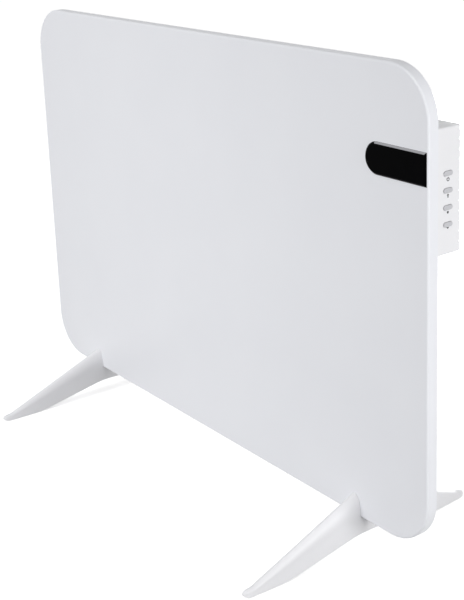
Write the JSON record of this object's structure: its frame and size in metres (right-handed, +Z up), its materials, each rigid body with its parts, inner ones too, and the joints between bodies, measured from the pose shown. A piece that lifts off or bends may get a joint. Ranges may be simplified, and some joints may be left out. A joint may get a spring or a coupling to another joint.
{
  "type": "infrared panel heater",
  "caption": "Slim white panel heater that stands on slotted blade feet, with a black display lens and a vented control box with push buttons behind one edge.",
  "frame": {"origin": "on the floor, midway between the feet, under the middle of the panel's thickness", "axes": "+X to the right seen from the front, +Y to the back, +Z up; the warm face looks along -Y"},
  "size_m": [0.9, 0.3866, 0.645],
  "materials": {
    "panel_paint": "satin white powder coat",
    "back_paint": "satin white powder coat",
    "white_plastic": "white moulded plastic, fine satin texture",
    "button_grey": "light grey moulded plastic",
    "lens_black": "black, polished",
    "zinc_steel": "galvanised sheet",
    "screw_steel": "bright zinc",
    "film_black": "carbon print under clear film",
    "felt": "needled glass felt",
    "board_green": "solder-resist green",
    "part_black": "moulded black",
    "part_blue": "moulded blue",
    "part_green": "moulded green",
    "ceramic": "glazed ceramic",
    "brass": "plain",
    "fuse_glass": "clear",
    "silicone": "silicone sleeve",
    "pad_rubber": "soft moulded rubber"
  },
  "bodies": {
    "heater": {"front_panel": "panel_paint", "rim_frame": "zinc_steel", "heating_film": "film_black", "insulation_felt": "felt", "back_plate": "back_paint", "leg_nut_bars": "zinc_steel", "wall_rivet_nuts": "screw_steel", "back_plate_screws": "screw_steel", "control_housing": "white_plastic", "control_cover": "white_plastic", "housing_screws": "screw_steel", "cover_screws": "screw_steel", "display_lens": "lens_black", "display_module": "part_black", "display_board": "board_green", "power_board": "board_green", "power_board_screws": "screw_steel", "transformer": "part_black", "relay": "part_blue", "capacitors": "part_black", "buzzer": "part_black", "fuse": "fuse_glass", "terminal_block": "part_green", "tip_over_switch": "part_black", "room_sensor": "part_black", "cord_gland": "white_plastic", "cord_gland_nut": "white_plastic", "film_tabs": "brass", "element_leads": "silicone", "thermal_cutout": "ceramic", "button_board": "board_green", "tact_switches": "part_black", "button_board_screws": "screw_steel", "leg_left": "white_plastic", "leg_right": "white_plastic", "foot_pads": "pad_rubber", "leg_screws": "screw_steel"},
    "power_button": {"button_power": "button_grey", "plunger_power": "part_black"},
    "up_button": {"button_up": "button_grey", "plunger_up": "part_black"},
    "mode_button": {"button_mode": "button_grey", "plunger_mode": "part_black"},
    "down_button": {"button_down": "button_grey", "plunger_down": "part_black"}
  },
  "joints": [
    {"name": "power_press", "type": "slide", "parent": "heater", "child": "power_button", "axis": [-1, 0, 0], "range_m": [0, 0.0007], "stiffness_N_per_m": 800, "springref_m": -0.001},
    {"name": "up_press", "type": "slide", "parent": "heater", "child": "up_button", "axis": [-1, 0, 0], "range_m": [0, 0.0007], "stiffness_N_per_m": 800, "springref_m": -0.001},
    {"name": "mode_press", "type": "slide", "parent": "heater", "child": "mode_button", "axis": [-1, 0, 0], "range_m": [0, 0.0007], "stiffness_N_per_m": 800, "springref_m": -0.001},
    {"name": "down_press", "type": "slide", "parent": "heater", "child": "down_button", "axis": [-1, 0, 0], "range_m": [0, 0.0007], "stiffness_N_per_m": 800, "springref_m": -0.001}
  ]
}
